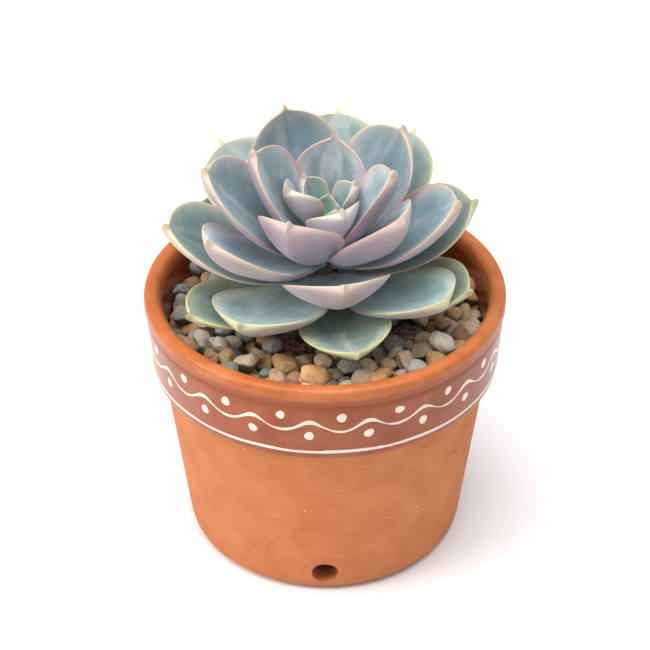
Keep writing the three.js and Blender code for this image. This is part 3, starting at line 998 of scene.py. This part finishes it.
def stemPiece():
    around, steps = stem['around'], stem['steps']
    rings = []
    for k in range(steps):
        level = stem['foot'] + k / (steps - 1) * stem['length']
        radius = stem['radius'] - max(0, level - stem['thinsAt']) * stem['thinning']
        for j in range(around):
            a = j * 2 * math.pi / around
            scar = 0.35 * max(0, math.sin(level * 2.1 + 3 * a)) ** 2 + 0.15 * math.sin(5 * a + level)
            out = radius + scar - 0.3
            rings.append((out * math.cos(a), out * math.sin(a), level))
    faces = ringFaces(steps, around)
    faces += [tuple(range(around))[::-1], tuple(range((steps - 1) * around, steps * around))]
    lean = Matrix.Rotation(math.radians(rosette['lean']), 4, leanAxis())
    return moved(np.array(rings), Matrix.Translation(rosette['pivot']) @ lean), faces


points, faces = stemPiece()
makePiece('scarred_stem', points * mm, faces, bark, None, ['stem'])

# two dead leaves, curled up on the gravel
husk = {'length': 12, 'width': 4.5, 'curl': 80, 'cup': 0.8, 'thick': 1.0, 'bend': 1.0}
huskPlan = [
    {'heading': 165, 'lift': -25, 'at': (-6, -27, 87)},
    {'heading': 350, 'lift': -25, 'at': (19, -19, 87.5)},
]


firstHuskSeed = 70
huskCrumple = 0.22


def huskFinish():
    material, shader, wire = startFinish('dry_husk')
    where = wire.node('TexCoord', output=3)
    along = attribute(wire, 'leafPlace').split()[0]
    cloud = noise(wire, where, 500, 4.0, 0.65)
    vein = noise(wire, where.stretch((1, 1, 3)), 900, 2.0, 0.6, 1.0)
    skin = cloud.fade(0.35, 0.68).blend(colour(0.075, 0.030, 0.032), colour(0.210, 0.100, 0.100))
    skin = (vein.fade(0.52, 0.66) * 0.6).blend(skin, colour(0.40, 0.26, 0.25))
    skin = (along.fade(0.7, 1.0) * 0.6).blend(skin, colour(0.10, 0.05, 0.05))
    normal = bump(wire, vein, 0.6, 0.0008)
    plug(shader, Base_Color=skin, Roughness=0.72 + (cloud - 0.5) * 0.2, Normal=normal)
    return material


dry = huskFinish()
for index, own in enumerate(huskPlan):
    leaf = {**husk, **own}
    points, faces, marks = leafPoints(leaf, firstHuskSeed + index, huskCrumple)
    place = Matrix.Translation(leaf['at']) @ Matrix.Rotation(math.radians(leaf['heading']), 4, 'Z')
    makePiece(f'shrivelled_husk_{index + 1}', moved(points, place) * mm, faces, dry, marks,
              [f'dry_husk_{index + 1}'])
print('stem and husks made')


studio = {
    'floorSize': 3.0,       # metres to each side
    'floorGap': 0.0002,
    'floor': colour(0.90, 0.90, 0.90),
    'target': (0, 0, 0.09),
    'lights': {
        'key': {'place': (-0.80, -0.28, 0.66), 'size': (0.60, 0.50), 'power': 6.5,
                'tint': (1.0, 0.985, 0.96)},
        'overhead': {'place': (-0.05, -0.12, 1.10), 'size': (0.9, 0.8), 'power': 12,
                     'tint': (0.98, 0.985, 1.0)},
    },
    'sky': (0.95, 0.97, 1.0, 1.0),
    'skyStrength': 0.66,
}


def makeFloor():
    mesh = bpy.data.meshes.new('floor')
    size = studio['floorSize']
    corners = [(-size, -size, 0), (size, -size, 0), (size, size, 0), (-size, size, 0)]
    mesh.from_pydata(corners, [], [(0, 1, 2, 3)])
    material, shader, _ = startFinish('pale_floor')
    plug(shader, Base_Color=studio['floor'], Roughness=0.6)
    mesh.materials.append(material)
    floor = bpy.data.objects.new('floor', mesh)
    floor.location.z = -studio['floorGap']
    scene.collection.objects.link(floor)


def makeLight(name, look):
    light = bpy.data.lights.new(name, 'AREA')
    light.shape = 'RECTANGLE'
    light.size, light.size_y = look['size']
    light.energy = look['power']
    light.color = look['tint']
    lamp = bpy.data.objects.new(name, light)
    lamp.location = look['place']
    ahead = Vector(studio['target']) - Vector(look['place'])
    lamp.rotation_euler = ahead.to_track_quat('-Z', 'Y').to_euler()
    scene.collection.objects.link(lamp)


makeFloor()
for name, look in studio['lights'].items():
    makeLight(name, look)
world = bpy.data.worlds.new('studio')
scene.world = world
world.use_nodes = True
sky = world.node_tree.nodes['Background']
sky.inputs['Color'].default_value = studio['sky']
sky.inputs['Strength'].default_value = studio['skyStrength']
scene.view_settings.view_transform = 'Standard'
print('stage set')
